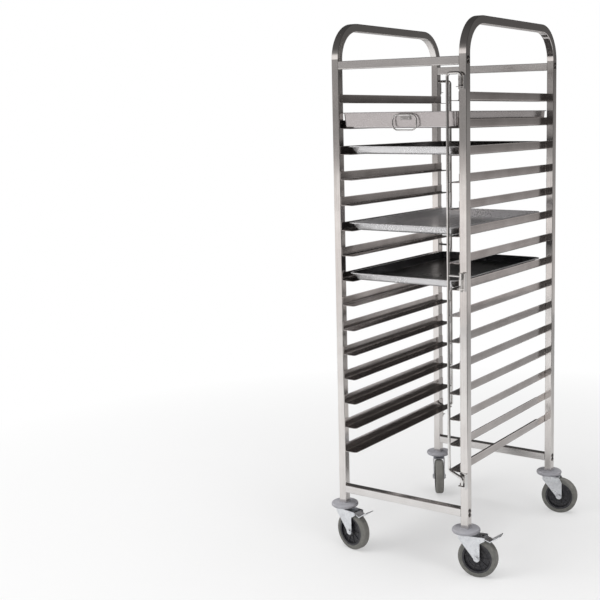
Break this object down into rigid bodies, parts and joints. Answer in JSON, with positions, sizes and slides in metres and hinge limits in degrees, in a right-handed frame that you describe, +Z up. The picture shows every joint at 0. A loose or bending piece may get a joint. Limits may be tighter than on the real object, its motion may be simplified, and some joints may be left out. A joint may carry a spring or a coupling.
{
  "type": "sheet pan rack",
  "caption": "Tall wheeled rack of tubular steel hoops with angle slides that hold baking trays, swing-out latch rods and swivel casters.",
  "frame": {"origin": "on the floor, midway between the four posts", "axes": "+Z up, -Y towards the front where the trays come out, +X to the right seen from the front"},
  "size_m": [0.6068, 0.715, 1.695],
  "materials": {
    "polished_steel": "mirror-polished stainless steel",
    "slide_steel": "satin stainless sheet",
    "tray_aluminium": "pressed sheet, polished rim",
    "zinc_steel": "zinc-plated pressed steel",
    "screw_steel": "machine screws",
    "bumper_rubber": "matt grey bumper",
    "tyre_rubber": "grey thermoplastic rubber",
    "hub_plastic": "dark moulded hub"
  },
  "bodies": {
    "frame": {"hoop_left": "polished_steel", "hoop_right": "polished_steel", "crossbar_top_front": "polished_steel", "crossbar_top_rear": "polished_steel", "crossbar_low_front": "polished_steel", "crossbar_low_rear": "polished_steel", "frame_bolts": "screw_steel", "latch_brackets": "polished_steel", "latch_bracket_screws": "screw_steel", "slides_tier_01": "slide_steel", "slides_tier_02": "slide_steel", "slides_tier_03": "slide_steel", "slides_tier_04": "slide_steel", "slides_tier_05": "slide_steel", "slides_tier_06": "slide_steel", "slides_tier_07": "slide_steel", "slides_tier_08": "slide_steel", "slides_tier_09": "slide_steel", "slides_tier_10": "slide_steel", "slides_tier_11": "slide_steel", "slides_tier_12": "slide_steel", "slides_tier_13": "slide_steel", "slides_tier_14": "slide_steel", "slides_tier_15": "slide_steel", "bumper_front_right": "bumper_rubber", "caster_head_front_right": "zinc_steel", "bumper_front_left": "bumper_rubber", "caster_head_front_left": "zinc_steel", "bumper_rear_right": "bumper_rubber", "caster_head_rear_right": "zinc_steel", "bumper_rear_left": "bumper_rubber", "caster_head_rear_left": "zinc_steel"},
    "front_latch": {"latch_rod_front": "polished_steel", "latch_arm_front": "polished_steel"},
    "rear_latch": {"latch_rod_rear": "polished_steel", "latch_arm_rear": "polished_steel"},
    "tray_03": {"tray_tier_03": "tray_aluminium"},
    "tray_06": {"tray_tier_06": "tray_aluminium"},
    "tray_08": {"tray_tier_08": "tray_aluminium"},
    "pan": {"pan": "tray_aluminium", "pan_handle_clip": "polished_steel"},
    "pan_handle": {"pan_handle": "polished_steel"},
    "swivel_front_right": {"caster_fork_front_right": "zinc_steel", "wheel_axle_front_right": "zinc_steel"},
    "wheel_front_right": {"wheel_tyre_front_right": "tyre_rubber", "wheel_hub_front_right": "hub_plastic"},
    "brake_front_right": {"brake_pedal_front_right": "zinc_steel"},
    "swivel_front_left": {"caster_fork_front_left": "zinc_steel", "wheel_axle_front_left": "zinc_steel"},
    "wheel_front_left": {"wheel_tyre_front_left": "tyre_rubber", "wheel_hub_front_left": "hub_plastic"},
    "brake_front_left": {"brake_pedal_front_left": "zinc_steel"},
    "swivel_rear_right": {"caster_fork_rear_right": "zinc_steel", "wheel_axle_rear_right": "zinc_steel"},
    "wheel_rear_right": {"wheel_tyre_rear_right": "tyre_rubber", "wheel_hub_rear_right": "hub_plastic"},
    "swivel_rear_left": {"caster_fork_rear_left": "zinc_steel", "wheel_axle_rear_left": "zinc_steel"},
    "wheel_rear_left": {"wheel_tyre_rear_left": "tyre_rubber", "wheel_hub_rear_left": "hub_plastic"}
  },
  "joints": [
    {"name": "front_latch_swing", "type": "hinge", "parent": "frame", "child": "front_latch", "pos_m": [0.2245, -0.3365, 0.931], "axis": [0, 0, 1], "range_deg": [0, 120]},
    {"name": "rear_latch_swing", "type": "hinge", "parent": "frame", "child": "rear_latch", "pos_m": [-0.2245, 0.3365, 0.931], "axis": [0, 0, 1], "range_deg": [0, 120]},
    {"name": "tray_03_slide", "type": "slide", "parent": "frame", "child": "tray_03", "axis": [0, -1, 0], "range_m": [-0.0275, 0.0115]},
    {"name": "tray_06_slide", "type": "slide", "parent": "frame", "child": "tray_06", "axis": [0, -1, 0], "range_m": [-0.0275, 0.0115]},
    {"name": "tray_08_slide", "type": "slide", "parent": "frame", "child": "tray_08", "axis": [0, -1, 0], "range_m": [-0.0275, 0.0115]},
    {"name": "pan_slide", "type": "slide", "parent": "frame", "child": "pan", "axis": [0, -1, 0], "range_m": [-0.0105, 0.0085]},
    {"name": "pan_handle_swing", "type": "hinge", "parent": "pan", "child": "pan_handle", "pos_m": [0.025, -0.32395, 1.4068], "axis": [-1, 0, 0], "range_deg": [0, 95]},
    {"name": "swivel_front_right", "type": "hinge", "parent": "frame", "child": "swivel_front_right", "pos_m": [0.2245, -0.3135, 0.1317], "axis": [0, 0, 1], "continuous": true},
    {"name": "wheel_front_right", "type": "hinge", "parent": "swivel_front_right", "child": "wheel_front_right", "pos_m": [0.2618, -0.30625, 0.0625], "axis": [0.1908, -0.9816, 0], "continuous": true},
    {"name": "brake_front_right", "type": "hinge", "parent": "swivel_front_right", "child": "brake_front_right", "pos_m": [0.28143, -0.30243, 0.1272], "axis": [-0.1908, 0.9816, 0], "range_deg": [0, 10]},
    {"name": "swivel_front_left", "type": "hinge", "parent": "frame", "child": "swivel_front_left", "pos_m": [-0.2245, -0.3135, 0.1317], "axis": [0, 0, 1], "continuous": true},
    {"name": "wheel_front_left", "type": "hinge", "parent": "swivel_front_left", "child": "wheel_front_left", "pos_m": [-0.1872, -0.32075, 0.0625], "axis": [-0.1908, -0.9816, 0], "continuous": true},
    {"name": "brake_front_left", "type": "hinge", "parent": "swivel_front_left", "child": "brake_front_left", "pos_m": [-0.16757, -0.32457, 0.1272], "axis": [0.1908, 0.9816, 0], "range_deg": [0, 10]},
    {"name": "swivel_rear_right", "type": "hinge", "parent": "frame", "child": "swivel_rear_right", "pos_m": [0.2245, 0.3135, 0.1317], "axis": [0, 0, 1], "continuous": true},
    {"name": "wheel_rear_right", "type": "hinge", "parent": "swivel_rear_right", "child": "wheel_rear_right", "pos_m": [0.26137, 0.32269, 0.0625], "axis": [0.2419, -0.9703, 0], "continuous": true},
    {"name": "swivel_rear_left", "type": "hinge", "parent": "frame", "child": "swivel_rear_left", "pos_m": [-0.2245, 0.3135, 0.1317], "axis": [0, 0, 1], "continuous": true},
    {"name": "wheel_rear_left", "type": "hinge", "parent": "swivel_rear_left", "child": "wheel_rear_left", "pos_m": [-0.20436, 0.28127, 0.0625], "axis": [-0.848, -0.5299, 0], "continuous": true}
  ]
}
